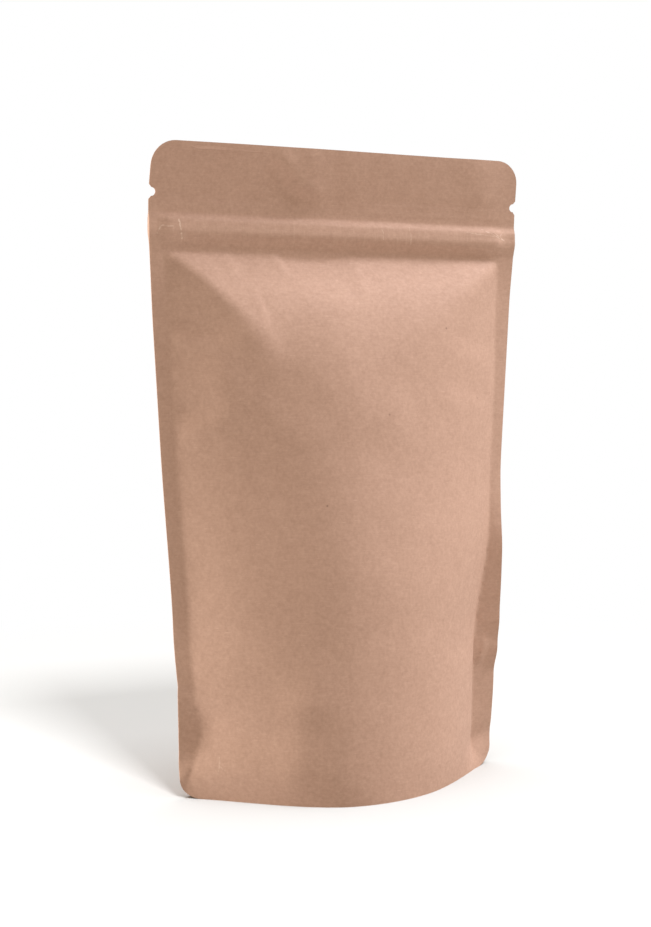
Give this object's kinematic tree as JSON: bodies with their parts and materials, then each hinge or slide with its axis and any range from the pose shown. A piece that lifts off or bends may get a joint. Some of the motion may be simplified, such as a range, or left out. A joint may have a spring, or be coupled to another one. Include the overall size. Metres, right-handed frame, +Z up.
{
  "type": "kraft stand-up pouch",
  "caption": "Filled and shut kraft paper stand-up pouch with sealed side fins, a press-to-close strip under a plain flap with tear notches, and a folded base that opens to an oval.",
  "frame": {"origin": "on the floor, under the middle of the pouch, in the middle plane of its side seals", "axes": "+Z up towards the flap, -Y out of the front panel, +X towards the viewer's right when facing the front"},
  "size_m": [0.13, 0.0616, 0.208],
  "materials": {
    "kraft": "matte unprinted kraft paper with a faint grain"
  },
  "bodies": {
    "root": {"pouch": "kraft"}
  },
  "joints": []
}
